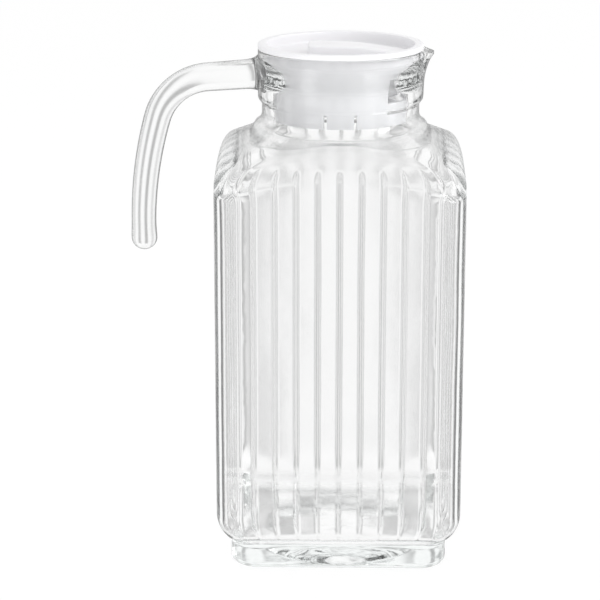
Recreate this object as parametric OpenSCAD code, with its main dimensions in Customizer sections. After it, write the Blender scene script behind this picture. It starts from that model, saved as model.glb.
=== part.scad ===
// Ribbed glass pitcher with a pouring lip, a free-ended glass handle and a lift-off lid.
// Millimetres. Origin on the neck's axis at the base, +Z up, lip towards +X, handle towards -X.

/* [Body] */
// Width of the squared body over its ribs
body_w = 107; // [98:1:130]
// Radius of the body's upright corners
body_corner_r = 10; // [8:0.5:16]
// Height of the straight ribbed wall
wall_h = 150; // [60:1:220]
// Thickness of the glass wall
wall_t = 3.2; // [2.4:0.1:4.5]
// Ribs on each of the four sides, without the one on each corner
ribs_per_side = 10; // [4:2:14]
// Depth of the grooves between the ribs
groove_d = 0.9; // [0.3:0.1:1.4]

/* [Foot] */
// How far the foot stands in from the body, on each side
foot_in = 6; // [5.5:0.5:8]
// Height of the foot
foot_h = 13; // [10:0.5:18]
// Radius of the foot's upright corners
foot_corner_r = 11; // [8:0.5:16]
// Rounding of the foot's bottom edge
heel_r = 4; // [2:0.5:6]
// Height of the curve that draws the wall in above the foot
curve_h = 13; // [9:0.5:20]
// How far that curve draws the wall in, measured on one side
curve_in = 5; // [3.5:0.5:5.5]
// Thickness of the glass at the base
base_t = 7.5; // [6:0.5:10]
// Height over which the inside's floor sweeps up into the wall
bowl_h = 22; // [16:0.5:30]
// Radius of the hollow under the base
kick_r = 33; // [20:1:36]
// Height of the hollow under the base
kick_h = 3.5; // [1:0.5:4.5]

/* [Shoulder and neck] */
// Rounding between the wall and the shoulder
shoulder_r = 10; // [6:0.5:14]
// Slope of the shoulder, in degrees
shoulder_slope = 24; // [16:1:34]
// How far the shoulder falls at the body's corners, under its height at the middle of a side
corner_fall = 5.5; // [0:0.5:8]
// Outer radius of the neck
neck_r = 34.4; // [33:0.1:35.5]
// Thickness of the glass in the neck
neck_t = 5.2; // [3.9:0.1:6.5]
// Height of the neck from the shoulder to the rim
neck_h = 33; // [30:0.5:45]
// How far the collar round the mouth stands out from the neck
collar_out = 1.7; // [1.2:0.1:3]
// Height of the collar
collar_h = 21; // [18:0.5:24]
// Height of the slope under the collar
collar_slope_h = 3; // [2:0.5:5]
// Thickness of the rim round the mouth, which takes the lid's cup
rim_t = 2.3; // [1.8:0.1:3]
// Depth of the mouth
mouth_d = 4.4; // [3.5:0.1:6]
// Height of the cone between the mouth and the bore
mouth_cone_h = 12; // [8:0.5:14]
// Rounding of the rim's edges
rim_round = 0.8; // [0.4:0.1:1]
// Radius of the flare at the foot of the neck
flare_r = 4; // [2:0.5:6]

/* [Pouring lip] */
// How far the lip stands out past the collar
lip_reach = 4.4; // [2:0.1:6]
// Radius of the lip's outside, seen from above
lip_r = 11; // [8:0.5:14]
// Thickness of the lip
lip_t = 2.4; // [1.8:0.1:3]
// Height of the lip
lip_h = 20; // [14:0.5:20.5]
// How far the lip's top lies below the rim
lip_drop = 1.2; // [0.5:0.1:2]

/* [Handle] */
// Height of the handle's root below the rim
handle_drop = 11.3; // [10:0.1:13]
// Droop of the handle's straight run, in degrees
handle_droop = 4.3; // [0:0.1:10]
// Length of the handle's straight run
handle_run = 22; // [15:0.5:35]
// Radius of the handle's bend
bend_r = 25; // [16:0.5:35]
// Angle of the handle at the end of its bend, in degrees below level
bend_angle = 74; // [60:1:82]
// Radius of the handle's long lower curve
leg_r = 174; // [100:1:240]
// Angle of the handle at its free end, in degrees below level
leg_angle = 92; // [86:1:96]
// Radius of the glass rod at its root
rod_root_r = 6.7; // [5:0.1:8]
// Radius of the glass rod at its free end
rod_tip_r = 5.6; // [4:0.1:7]
// How far the root spreads where it joins the collar
root_spread = 1.6; // [0:0.1:2.4]
// Length of that spread
root_spread_l = 5; // [3:0.5:8]

/* [Lid] */
// Height of the lid's flange above the rim
flange_h = 2.2; // [1.5:0.1:4]
// Rounding of the flange's edge
flange_round = 0.8; // [0.3:0.1:1]
// Thickness of the lid's plastic
lid_t = 1.4; // [1:0.1:2]
// Depth of the recess in the lid's top
recess_d = 4.8; // [4.4:0.1:5]
// Running gap between the lid and the glass
lid_gap = 0.3; // [0.2:0.05:0.5]
// Length of the skirt below the rim
skirt_h = 31; // [26:0.5:32]
// Width of the grip on the lid's top
grip_w = 16; // [12:0.5:20]
// How far the grip reaches from the axis towards the handle
grip_back = 14.3; // [8:0.1:20]
// Level length of the grip's top past the axis
grip_level = 4; // [0:0.5:12]
// Height of the grip above the recess at its lip side
grip_low_h = 1.2; // [1:0.1:2]
// Angle that the pouring window covers, in degrees
window_angle = 100; // [60:1:110]
// Height of the pouring window
window_h = 10; // [6:0.5:11]
// Depth of the window's top below the rim
window_drop = 10; // [9.2:0.1:12]
// Angle over which the lid's wall is kept back behind the lip, in degrees
relief_angle = 50; // [40:1:58]
// Height of the strip below the window
strip_h = 1.6; // [1.2:0.1:3]
// Height of the slot below that strip
slot_h = 3; // [2:0.1:4]
// Width of the slits that let the skirt flex
slit_w = 1.3; // [0.8:0.1:2]
// Height of the slits
slit_h = 8; // [4:0.5:8.5]
// Width of the tongue between two slits
tongue_w = 11; // [8:0.5:16]

/* [Hidden] */

// Overrun of every cut, and how far joined shapes run into each other
over = 1;
round_facets = 96;

// Radii and half widths
foot_half = body_w / 2 - foot_in;
bore_r = neck_r - neck_t;
collar_r = neck_r + collar_out;
mouth_r = collar_r - rim_t;

// Heights, from the base up
wall_z0 = foot_h + curve_h;
wall_z1 = wall_z0 + wall_h;
slope_turn = 90 - shoulder_slope;
shoulder_corner_z = wall_z1 + shoulder_r * tan(slope_turn / 2);
neck_z = shoulder_corner_z + (body_w / 2 - neck_r) * tan(shoulder_slope);
rim_z = neck_z + neck_h;
collar_z = rim_z - collar_h;

// The curve above the foot is an arc that starts upright at the wall
curve_turn = 2 * atan(curve_in / curve_h);
curve_r = curve_h / sin(curve_turn);

// One rib's points along the outline and how deep each lies, as shares of a rib and of the groove
rib_step_shares = [0, 0.2, 0.5, 0.8];
rib_dip_shares = [1, 0.16, 0, 0.16];
rib_steps = len(rib_step_shares);
rib_count = 4 * (ribs_per_side + 1);

// Outline of the body: a square with round corners, walked at even steps from the middle of the lip side
side_l = body_w / 2 - body_corner_r;
quarter_l = 2 * side_l + body_corner_r * PI / 2;
function walk_point(d) =
    d < side_l ? [body_w / 2, d]
    : d < quarter_l - side_l
        ? let (a = (d - side_l) / body_corner_r * 180 / PI)
            [side_l + body_corner_r * cos(a), side_l + body_corner_r * sin(a)]
        : [quarter_l - d, body_w / 2];
function walk_normal(d) =
    d < side_l ? 0 : d < quarter_l - side_l ? (d - side_l) / body_corner_r * 180 / PI : 90;

// Directions of an outline's points: [angle seen from the axis, angle of the outline's normal, groove share]
function walk_direction(share, dip) =
    let (q = floor(4 * share), d = (4 * share - q) * quarter_l, p = walk_point(d))
    [90 * q + atan2(p[1], p[0]), 90 * q + walk_normal(d), dip];
rib_directions = [for (i = [0:rib_count - 1], k = [0:rib_steps - 1])
    walk_direction((i + rib_step_shares[k]) / rib_count, rib_dip_shares[k])];
smooth_count = 56;
smooth_directions = [for (i = [0:smooth_count - 1]) walk_direction(i / smooth_count, 0)];

// Reach from the axis of a square of half width h and corner radius c, in the direction a
function fold(a) = abs(((a + 45) % 90 + 90) % 90 - 45);
function reach(a, h, c) =
    let (t = fold(a), u = cos(t), v = sin(t), m = h - c)
    h * v / u <= m ? h / u : m * (u + v) + sqrt(max(0, c * c - m * m * (u - v) * (u - v)));

// One ring of a loft: half width, corner radius, height, groove depth and fall at its corners, along the
// given directions; the fall goes with how far a point lies past the ring's half width
function ring(directions, h, c, z, dip = 0, fall = 0) =
    [for (w = directions)
        let (r = reach(w[0], h, c), g = dip * w[2], low = fall * (r / h - 1) / corner_excess)
        [r * cos(w[0]) - g * cos(w[1]), r * sin(w[0]) - g * sin(w[1]), z - low]];
corner_excess = 2 * reach(45, body_w / 2, body_corner_r) / body_w - 1;

// Middle of a ring
function middle(ring) = [for (axis = [0:2]) [for (p = ring) p[axis]] * [for (p = ring) 1] / len(ring)];

// A closed skin through rings of equal counts, from the bottom ring to the top one
module loft(rings) {
    n = len(rings[0]);
    top = (len(rings) - 1) * n;
    low_middle = top + n;
    points = concat([for (r = rings, p = r) p], [middle(rings[0]), middle(rings[len(rings) - 1])]);
    bands = [for (k = [0:len(rings) - 2], i = [0:n - 1], half = [0, 1])
        let (a = k * n + i, b = k * n + (i + 1) % n)
        half == 0 ? [a, a + n, b] : [b, a + n, b + n]];
    caps = [for (i = [0:n - 1], end = [0, 1])
        end == 0 ? [low_middle, i, (i + 1) % n] : [low_middle + 1, top + (i + 1) % n, top + i]];
    polyhedron(points, concat(bands, caps));
}

// Corner radius on the shoulder, which grows until the section is the neck's circle
shoulder_end_h = body_w / 2 - shoulder_r * (1 - cos(slope_turn));
function shoulder_corner(h, end_r) =
    let (k = (shoulder_end_h - h) / (shoulder_end_h - end_r))
    body_corner_r + k * (end_r - body_corner_r);

// Outer skin of the jug, below the neck
heel_steps = 3;
curve_steps = 4;
shoulder_steps = 4;
// How much of the groove is left at each ring of the curve and of the shoulder's rounding
curve_dip_shares = [0, 0.3, 0.75, 1, 1];
shoulder_dip_shares = [1, 0.9, 0.5, 0.1, 0];
ledge_h = 0.6;
slope_mid_h = (shoulder_end_h + neck_r) / 2;
function slope_z(h) = neck_z - (h - neck_r) * tan(shoulder_slope);
neck_root_r = neck_r - over;

skin_rings = concat(
    [ring(rib_directions, foot_half - heel_r, foot_corner_r - heel_r / 2, -over)],
    [for (k = [0:heel_steps]) let (a = 90 * k / heel_steps)
        ring(rib_directions, foot_half - heel_r * (1 - sin(a)),
            foot_corner_r - heel_r / 2 * (1 - sin(a)), heel_r * (1 - cos(a)))],
    [ring(rib_directions, foot_half, foot_corner_r, foot_h - ledge_h)],
    [for (k = [0:curve_steps]) let (a = curve_turn * (1 - k / curve_steps))
        ring(rib_directions, body_w / 2 - curve_r * (1 - cos(a)), body_corner_r,
            wall_z0 - curve_r * sin(a), groove_d * curve_dip_shares[k])],
    [for (k = [0:shoulder_steps]) let (a = slope_turn * k / shoulder_steps)
        ring(rib_directions, body_w / 2 - shoulder_r * (1 - cos(a)), body_corner_r,
            wall_z1 + shoulder_r * sin(a), groove_d * shoulder_dip_shares[k], corner_fall)],
    [ring(rib_directions, slope_mid_h, shoulder_corner(slope_mid_h, neck_r), slope_z(slope_mid_h), 0,
        corner_fall)],
    [ring(rib_directions, neck_root_r, neck_root_r, slope_z(neck_root_r))]);

// Hollow of the body: parallel to the wall, with a bowl for a floor. The bowl's half width goes with a
// power of the sine of its sweep, and its height with a power of the rest
bowl_steps = 6;
bowl_from = 20;
bowl_out_power = 0.7;
bowl_up_power = 1.6;
hollow_half = body_w / 2 - wall_t;
function bowl_sweep(k) = bowl_from + (90 - bowl_from) * k / bowl_steps;
hollow_corner_r = body_corner_r - wall_t / 2;
hollow_round_r = shoulder_r - wall_t;
hollow_slope_drop = wall_t / cos(shoulder_slope);
hollow_top_h = bore_r - over;

hollow_rings = concat(
    [for (k = [0:bowl_steps]) let (a = bowl_sweep(k), share = pow(sin(a), bowl_out_power))
        ring(smooth_directions, hollow_half * share, hollow_corner_r * sqrt(share),
            base_t + bowl_h * pow(1 - cos(a), bowl_up_power))],
    [for (k = [0:shoulder_steps]) let (a = slope_turn * k / shoulder_steps)
        ring(smooth_directions, body_w / 2 - shoulder_r + hollow_round_r * cos(a), hollow_corner_r,
            wall_z1 + hollow_round_r * sin(a), 0, corner_fall)],
    [ring(smooth_directions, slope_mid_h, shoulder_corner(slope_mid_h, bore_r),
        slope_z(slope_mid_h) - hollow_slope_drop, 0, corner_fall)],
    [ring(smooth_directions, hollow_top_h, hollow_top_h, slope_z(hollow_top_h) - hollow_slope_drop)]);

// Neck and collar: one turned profile, from its root inside the shoulder up to the rim
flare_steps = 4;
flare_turn = 40;
flare_z = slope_z(neck_r) + flare_r;
flare_end_r = neck_r + flare_r * (1 - cos(flare_turn));
flare_end_z = flare_z - flare_r * sin(flare_turn);
neck_profile = concat(
    [[0, neck_z - flare_r], [flare_end_r + flare_r / 2, flare_end_z - flare_r]],
    [for (k = [0:flare_steps]) let (a = flare_turn * (1 - k / flare_steps))
        [neck_r + flare_r * (1 - cos(a)), flare_z - flare_r * sin(a)]],
    [[neck_r, collar_z - collar_slope_h], [collar_r - rim_round / 2, collar_z - rim_round],
        [collar_r, collar_z], [collar_r, rim_z - rim_round],
        [collar_r - rim_round, rim_z], [0, rim_z]]);

// Bore, cone and mouth, cut from the neck's root to the rim
bore_z = slope_z(bore_r) - hollow_slope_drop - wall_t;
bore_profile = [[0, bore_z], [bore_r, bore_z], [bore_r, rim_z - mouth_d - mouth_cone_h],
    [mouth_r, rim_z - mouth_d], [mouth_r, rim_z + over], [0, rim_z + over]];

module turned(profile) {
    rotate_extrude($fn = round_facets) polygon(profile);
}

// The lip's plan is a circle that moves outward from its foot to its top: the outside with the square
// of its height, and the channel inside at an even lean
lip_facets = 32;
lip_sink = 0.4;
lip_steps = 6;
lip_z = rim_z - lip_drop;
lip_foot_z = rim_z - lip_h;
function lip_ring(r, reach, z) = [for (i = [0:lip_facets - 1]) let (a = 360 * i / lip_facets)
    [reach - r + r * cos(a), r * sin(a), z]];
module lip_form(r, foot_reach, top_reach, power, rise = 0) {
    loft(concat(
        [for (k = [0:lip_steps]) let (share = k / lip_steps)
            lip_ring(r, foot_reach + (top_reach - foot_reach) * pow(share, power),
                lip_foot_z + (lip_z - lip_foot_z) * share)],
        rise > 0 ? [lip_ring(r, top_reach, lip_z + rise)] : []));
}

module glass_jug() {
    color([0.86, 0.92, 0.91, 0.35])
    difference() {
        union() {
            loft(skin_rings);
            turned(neck_profile);
            lip_form(lip_r, collar_r - lip_sink, collar_r + lip_reach, 2);
        }
        translate([0, 0, -body_w]) linear_extrude(body_w) square(2 * body_w, center = true);
        kick_under();
        loft(hollow_rings);
        turned(bore_profile);
        lip_form(lip_r - lip_t, bore_r - over, collar_r + lip_reach - lip_t, 1, lip_drop + over);
    }
}

// The hollow under the base is part of a large ball
module kick_under() {
    ball_r = (kick_r * kick_r + kick_h * kick_h) / (2 * kick_h);
    translate([0, 0, kick_h - ball_r]) sphere(r = ball_r, $fn = round_facets);
}

// Handle: a straight run, a bend and a long curve; a place is [x, z, direction below level, length so far]
handle_z = rim_z - handle_drop;
run_end = [-collar_r - handle_run * cos(handle_droop), handle_z - handle_run * sin(handle_droop)];
function arc_place(start, r, from, to) =
    [start[0] + r * (sin(from) - sin(to)), start[1] - r * (cos(from) - cos(to)), to];
bend_last = arc_place(run_end, bend_r, handle_droop, bend_angle);
bend_l = bend_r * (bend_angle - handle_droop) * PI / 180;
leg_l = leg_r * (leg_angle - bend_angle) * PI / 180;
handle_l = handle_run + bend_l + leg_l;
function rod_r(l) =
    rod_root_r + (rod_tip_r - rod_root_r) * max(0, l) / handle_l
    + root_spread * pow(max(0, 1 - max(0, l) / root_spread_l), 2);

rod_sides = 24;
spread_steps = 3;
bend_steps = 9;
leg_steps = 6;
tip_steps = 4;
root_in = collar_r - mouth_r;
function run_place(l) =
    [-collar_r - l * cos(handle_droop), handle_z - l * sin(handle_droop), handle_droop, l];
handle_places = concat(
    [run_place(-root_in)],
    [for (k = [0:spread_steps]) run_place(root_spread_l * k / spread_steps)],
    [for (k = [0:bend_steps]) let (a = handle_droop + (bend_angle - handle_droop) * k / bend_steps)
        concat(arc_place(run_end, bend_r, handle_droop, a),
            handle_run + bend_r * (a - handle_droop) * PI / 180)],
    [for (k = [1:leg_steps]) let (a = bend_angle + (leg_angle - bend_angle) * k / leg_steps)
        concat(arc_place(bend_last, leg_r, bend_angle, a),
            handle_run + bend_l + leg_r * (a - bend_angle) * PI / 180)]);
leg_last = handle_places[len(handle_places) - 1];

// A round section of the rod at a place, moved on along the rod's direction by a distance
function rod_ring(place, r, on = 0) =
    [for (i = [0:rod_sides - 1]) let (a = -360 * i / rod_sides, s = place[2])
        [place[0] - on * cos(s) - r * cos(a) * sin(s), r * sin(a),
            place[1] - on * sin(s) + r * cos(a) * cos(s)]];
rod_rings = concat(
    [for (p = handle_places) rod_ring(p, rod_r(p[3]))],
    [for (k = [1:tip_steps]) let (a = 90 * k / (tip_steps + 1))
        rod_ring(leg_last, rod_tip_r * cos(a), rod_tip_r * sin(a))]);

module glass_handle() {
    color([0.86, 0.92, 0.91, 0.35])
    difference() {
        loft(rod_rings);
        translate([0, 0, collar_z - collar_slope_h])
            cylinder(r = collar_r, h = collar_h + 2 * collar_slope_h, $fn = round_facets);
    }
}

// Lid: a turned shell whose wall follows the glass's cone, with a grip raised from the recess's floor
lid_z = rim_z + flange_h;
cup_r = mouth_r - lid_gap;
skirt_r = bore_r - lid_gap;
recess_r = cup_r - lid_t;
recess_z = lid_z - recess_d;
cup_z = recess_z - lid_t;
cone_top_z = rim_z - mouth_d;
cone_low_z = cone_top_z - mouth_cone_h;
shell_profile = [[0, rim_z - skirt_h], [skirt_r, rim_z - skirt_h], [skirt_r, cone_low_z],
    [cup_r, cone_top_z], [cup_r, rim_z],
    [collar_r, rim_z], [collar_r, lid_z - flange_round],
    [collar_r - flange_round, lid_z], [recess_r, lid_z], [recess_r, recess_z + lid_t],
    [recess_r - lid_t, recess_z], [0, recess_z]];

// The grip's side view: level at the handle side, then falling to a low end inside the recess's wall
grip_top_z = lid_z - flange_round / 4;
grip_front = sqrt(recess_r * recess_r - grip_w * grip_w / 4);
module grip_block(inset, low) {
    rotate([90, 0, 0]) translate([0, 0, -grip_w / 2 + inset]) linear_extrude(grip_w - 2 * inset)
        polygon([[-grip_back + inset, low], [-grip_back + inset, grip_top_z - inset],
            [grip_level, grip_top_z - inset], [grip_front - inset, recess_z + grip_low_h - inset],
            [grip_front - inset, low]]);
}

// The hollow under the grip ends where its ceiling would meet the lid's floor
grip_fall = (grip_top_z - recess_z - grip_low_h) / (grip_front - grip_level);
hollow_grip_end = grip_level + (grip_top_z - lid_t - recess_z) / grip_fall;
module grip_hollow() {
    half_w = grip_w / 2 - lid_t;
    end_x = min(hollow_grip_end, skirt_r - 2 * lid_t) - lid_t;
    rotate([90, 0, 0]) translate([0, 0, -half_w]) linear_extrude(2 * half_w)
        polygon([[-grip_back + lid_t, cup_z - over], [-grip_back + lid_t, grip_top_z - lid_t],
            [grip_level, grip_top_z - lid_t],
            [end_x, grip_top_z - lid_t - grip_fall * (end_x - grip_level)], [end_x, cup_z - over]]);
}

// A block on the lip side: part of a ring over an angle, between two radii and two heights
module lip_side(angle, in_r, out_r, low_z, high_z) {
    translate([0, 0, low_z]) rotate([0, 0, -angle / 2])
        rotate_extrude(angle = angle, $fn = round_facets)
            translate([in_r, 0]) square([out_r - in_r, high_z - low_z]);
}

// A band cut from the skirt there, between two heights below the rim
module skirt_band(top_drop, h) {
    lip_side(window_angle, skirt_r - 2 * lid_t, cup_r + lid_t, rim_z - top_drop - h, rim_z - top_drop);
}

// The shell's inside is a bore that widens under the cup, but on the lip side the wall stays upright up
// to the cup's floor, inside and out, which leaves the lip's channel open
lip_wall_angle = relief_angle + 6;
module lid_shell() {
    difference() {
        turned(shell_profile);
        lip_side(relief_angle, skirt_r + lid_gap / 4, cup_r + lid_t, cone_low_z, cup_z);
        translate([0, 0, rim_z - skirt_h - over])
            cylinder(r = skirt_r - lid_t, h = cup_z - rim_z + skirt_h + over, $fn = round_facets);
        rotate([0, 0, lip_wall_angle / 2]) rotate_extrude(angle = 360 - lip_wall_angle, $fn = round_facets)
            polygon([[skirt_r - lid_t, cone_low_z], [recess_r, cup_z],
                [skirt_r - 2 * lid_t, cup_z], [skirt_r - 2 * lid_t, cone_low_z]]);
    }
}

module lid() {
    color([0.96, 0.96, 0.96])
    difference() {
        union() {
            lid_shell();
            grip_block(0, recess_z - lid_t / 2);
        }
        grip_hollow();
        skirt_band(window_drop, window_h);
        skirt_band(window_drop + window_h + strip_h, slot_h);
        for (side = [-1, 1], slit = [-1, 1])
            translate([slit * (tongue_w + slit_w) / 2, side * skirt_r, rim_z - skirt_h - over])
                linear_extrude(slit_h + over) square([slit_w, 4 * lid_t], center = true);
    }
}

glass_jug();
glass_handle();
lid();
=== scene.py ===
# A ribbed glass pitcher with its white lid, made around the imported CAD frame.
# Shapes are worked out in millimetres and go into the meshes in metres.
import bpy
import numpy as np
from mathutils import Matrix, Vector


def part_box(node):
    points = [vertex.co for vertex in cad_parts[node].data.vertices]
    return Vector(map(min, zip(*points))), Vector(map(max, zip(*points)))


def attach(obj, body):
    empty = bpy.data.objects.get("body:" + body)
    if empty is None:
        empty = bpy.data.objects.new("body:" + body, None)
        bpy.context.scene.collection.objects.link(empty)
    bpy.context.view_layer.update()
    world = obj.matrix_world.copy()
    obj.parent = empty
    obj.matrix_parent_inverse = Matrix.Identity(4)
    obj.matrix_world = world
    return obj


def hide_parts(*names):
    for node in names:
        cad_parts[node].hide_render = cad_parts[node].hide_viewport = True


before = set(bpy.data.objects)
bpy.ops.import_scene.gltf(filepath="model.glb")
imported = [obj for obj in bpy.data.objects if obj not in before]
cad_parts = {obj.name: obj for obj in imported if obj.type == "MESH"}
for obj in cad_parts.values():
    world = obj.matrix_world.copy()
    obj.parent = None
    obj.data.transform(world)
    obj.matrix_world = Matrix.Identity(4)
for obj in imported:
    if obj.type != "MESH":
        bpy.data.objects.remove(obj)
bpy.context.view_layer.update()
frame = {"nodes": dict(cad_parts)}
mm = 0.001
overlap = 0.4                      # how far glass pieces run into each other, in mm
print("frame loaded:", ", ".join(frame["nodes"]))

# Heights that the pieces share, read from the frame in millimetres
jugHigh = np.array(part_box("glass_jug")[1]) / mm
lidHigh = np.array(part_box("lid")[1]) / mm
rimHeight = jugHigh[2]
bodyHalf = jugHigh[1]
collarRadius = lidHigh[1]


# Mesh helpers

def buildMesh(name, points, faceSets, smooth=True):
    # Points in mm (n, 3) and face arrays (k, 3) or (k, 4) become one mesh object at the origin.
    mesh = bpy.data.meshes.new(name)
    corners = np.concatenate([faces.reshape(-1) for faces in faceSets])
    sizes = np.concatenate([np.full(len(faces), faces.shape[1]) for faces in faceSets])
    starts = np.concatenate([[0], np.cumsum(sizes)[:-1]])
    mesh.vertices.add(len(points))
    mesh.loops.add(len(corners))
    mesh.polygons.add(len(sizes))
    mesh.vertices.foreach_set("co", (np.asarray(points) * mm).astype(np.float32).ravel())
    mesh.loops.foreach_set("vertex_index", corners.astype(np.int32))
    mesh.polygons.foreach_set("loop_start", starts.astype(np.int32))
    mesh.update(calc_edges=True)
    mesh.validate()
    mesh.polygons.foreach_set("use_smooth", np.full(len(mesh.polygons), smooth))
    obj = bpy.data.objects.new(name, mesh)
    bpy.context.scene.collection.objects.link(obj)
    return obj


def gridFaces(rows, columns, first=0):
    # Quads of a grid whose columns close on themselves: (i, j), (i, j+1), (i+1, j+1), (i+1, j).
    i, j = np.meshgrid(np.arange(rows - 1), np.arange(columns), indexing="ij")
    after = (j + 1) % columns
    quads = [i * columns + j, i * columns + after, (i + 1) * columns + after, (i + 1) * columns + j]
    return first + np.stack(quads, -1).reshape(-1, 4)


def poleFaces(row, columns, pole, flip):
    # Triangles between one row of a grid and a pole point.
    j = np.arange(columns)
    here, after = row * columns + j, row * columns + (j + 1) % columns
    ends = [here, after] if flip else [after, here]
    return np.stack(ends + [np.full(columns, pole)], -1)


def closedGrid(grid):
    # A grid of points (rows, columns, 3), closed round its columns and by a pole at each end.
    rows, columns = grid.shape[:2]
    points = np.concatenate([grid.reshape(-1, 3), grid[0].mean(0)[None], grid[-1].mean(0)[None]])
    count = rows * columns
    faces = [gridFaces(rows, columns), poleFaces(0, columns, count, False),
             poleFaces(rows - 1, columns, count + 1, True)]
    return points, faces


def smoothMax(a, b, width):
    # The larger of a and b, rounded where they are closer than width.
    near = np.maximum(width - np.abs(a - b), 0) / width
    return np.maximum(a, b) + near * near * width / 4


def ease(low, high, x):
    # 0 below low, 1 above high, and a smooth step between.
    t = np.clip((x - low) / (high - low), 0, 1)
    return t * t * (3 - 2 * t)


# The jug's outline: a square with round corners, walked once round, with a rib on every equal step

jug = {
    "cornerRadius": 10.0, "wall": 3.2, "wallHeight": 150.0,
    "grooveStep": 9.07, "edgeGroove": 43.0, "grooveDepth": 0.5, "grooveWidth": 3.7, "grooveTop": 182.0,
    "footIn": 6.0, "footHeight": 13.0, "footCorner": 11.0, "heel": 4.0, "ledge": 0.9,
    "curveHeight": 13.0, "curveIn": 5.0,
    "base": 9.0, "bowlHeight": 14.0, "bowlOut": 0.7, "bowlUp": 1.6, "kickRadius": 33.0, "kickHeight": 3.5,
    "shoulderRadius": 10.0, "shoulderSlope": 24.0, "cornerFall": 5.5,
    "inCorner": 7.2, "inRound": 18.0, "throat": 9.0, "bore": 29.2,
    "neckRadius": 34.4, "neckHeight": 33.0, "flare": 5.5, "collarHeight": 21.0, "collarSlope": 3.0,
    "mouth": 33.8, "mouthDepth": 4.4, "mouthCone": 12.0, "rimRound": 0.8,
    "lipReach": 4.4, "lipRadius": 11.0, "lipWall": 2.4, "lipHeight": 20.0, "lipDrop": 1.2, "lipBlend": 1.2,
}
# How uneven the glass is: the depth of each set of waves in mm, and their counts round it and lengths in mm
unevenness = {
    "skin": (0.05, [(4, 150), (7, 83)]),
    "inside": (0.22, [(3, 90), (5, 61), (8, 47), (13, 120)]),
    "foot": (0.35, [(21, 37), (34, 53), (13, 29)]),
    "floor": (0.25, [(2, 31), (3, 22), (5, 41)]),
    "kick": (0.3, [(3, 19), (5, 13), (8, 27)]),
}
besideGroove = np.array([0, .1, .33, .65, 1.0])       # places of columns, in half widths of a groove


def outlineWalk():
    # Angle seen from the axis, angle of the normal and groove depth (0 to 1) of each column. Each side has
    # nine grooves and one more at each end. From its middle a groove rises as 1 - (1 - distance) ^ 2.
    corner = jug["cornerRadius"]
    side = bodyHalf - corner
    quarter = 2 * side + corner * np.pi / 2
    half = jug["grooveWidth"] / 2
    grooves = np.append(jug["grooveStep"] * np.arange(5), jug["edgeGroove"])
    grooves = np.concatenate([grooves, quarter - grooves[::-1]])
    beside = np.concatenate([-besideGroove[:0:-1], besideGroove]) * half
    middles = (grooves[1:] + grooves[:-1])[[0, 1, 2, 3, 4, 6, 7, 8, 9, 10]] / 2
    bends = side + corner * np.radians(np.arange(15, 80, 6))
    d = np.concatenate([(grooves[:, None] + beside).ravel(), middles, bends])
    d = np.sort(d[(d >= 0) & (d < quarter - 0.001)])
    fromGroove = np.abs(d[:, None] - grooves).min(1) / half
    bend = np.clip((d - side) / corner, 0, np.pi / 2)
    x = side + corner * np.cos(bend) - np.maximum(d - (quarter - side), 0)
    y = np.minimum(d, side) + corner * np.sin(bend)
    turn = (np.arange(4) * np.pi / 2)[:, None]
    groove = np.tile(np.maximum(1 - fromGroove, 0) ** 2, 4)
    return (turn + np.arctan2(y, x)).ravel(), (turn + bend).ravel(), groove


def reach(angle, half, corner):
    # Reach from the axis of a square of the given half width with round corners, in a direction.
    eighth = np.pi / 4
    fold = np.abs((angle + eighth) % (2 * eighth) - eighth)
    u, v, flat = np.cos(fold), np.sin(fold), half - corner
    root = np.sqrt(np.maximum(0, corner ** 2 - flat ** 2 * (u - v) ** 2))
    return np.where(half * v / u <= flat, half / u, flat * (u + v) + root)


def arc(start, end, steps):
    # Angles in radians, in even steps between two in degrees.
    return np.radians(np.linspace(start, end, steps))


def stack(*parts):
    # Joins pieces of a profile, each a tuple (half width, corner radius, height, groove), end to end.
    wide = [np.broadcast_arrays(*[np.atleast_1d(value).astype(float) for value in part]) for part in parts]
    return [np.concatenate([part[k] for part in wide]) for k in range(4)]


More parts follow.
